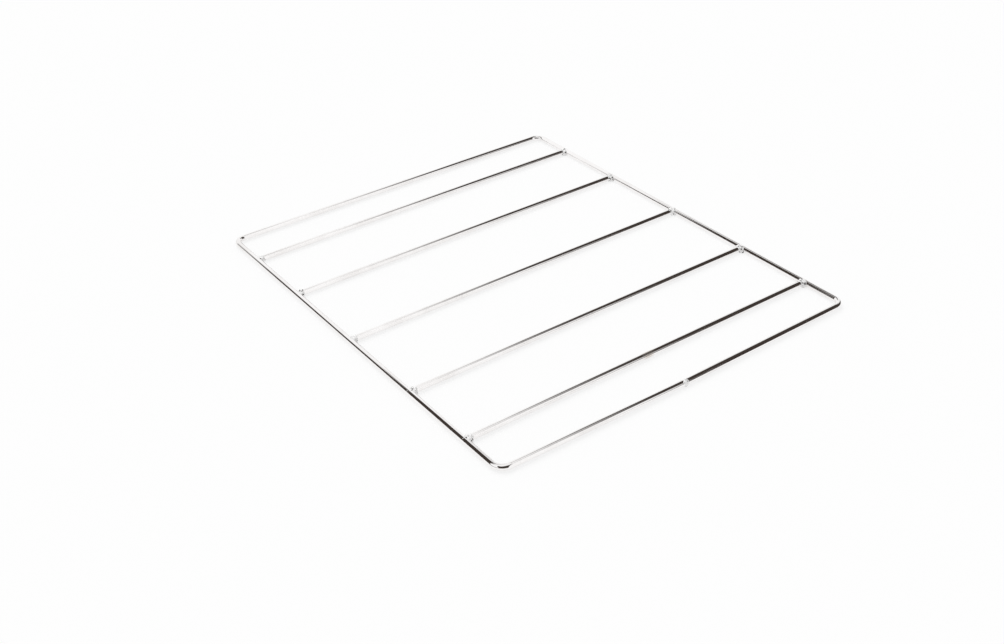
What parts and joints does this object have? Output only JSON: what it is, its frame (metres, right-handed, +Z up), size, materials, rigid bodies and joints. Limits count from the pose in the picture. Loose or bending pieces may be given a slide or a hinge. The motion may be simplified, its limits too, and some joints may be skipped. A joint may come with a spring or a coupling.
{
  "type": "fryer basket support rack",
  "caption": "Flat plated-wire rack with a bent rectangular frame and welded cross wires that holds frying baskets above the burner tubes of a deep fryer.",
  "frame": {"origin": "on the surface that the rack lies on, under the middle of its outside box", "axes": "+X along the cross wires, +Y across them from the side with the closing weld to the plain side, +Z up"},
  "size_m": [0.3366, 0.4025, 0.0056],
  "materials": {
    "plated_wire": "bright nickel-chrome plating on drawn steel wire, mirror-like",
    "weld_metal": "plated weld metal, uneven and less bright"
  },
  "bodies": {
    "root": {"frame_wire": "plated_wire", "closing_weld": "weld_metal", "cross_wire_1": "plated_wire", "cross_wire_2": "plated_wire", "cross_wire_3": "plated_wire", "cross_wire_4": "plated_wire", "cross_wire_5": "plated_wire", "left_weld_1": "weld_metal", "left_weld_2": "weld_metal", "left_weld_3": "weld_metal", "left_weld_4": "weld_metal", "left_weld_5": "weld_metal", "right_weld_1": "weld_metal", "right_weld_2": "weld_metal", "right_weld_3": "weld_metal", "right_weld_4": "weld_metal", "right_weld_5": "weld_metal"}
  },
  "joints": []
}
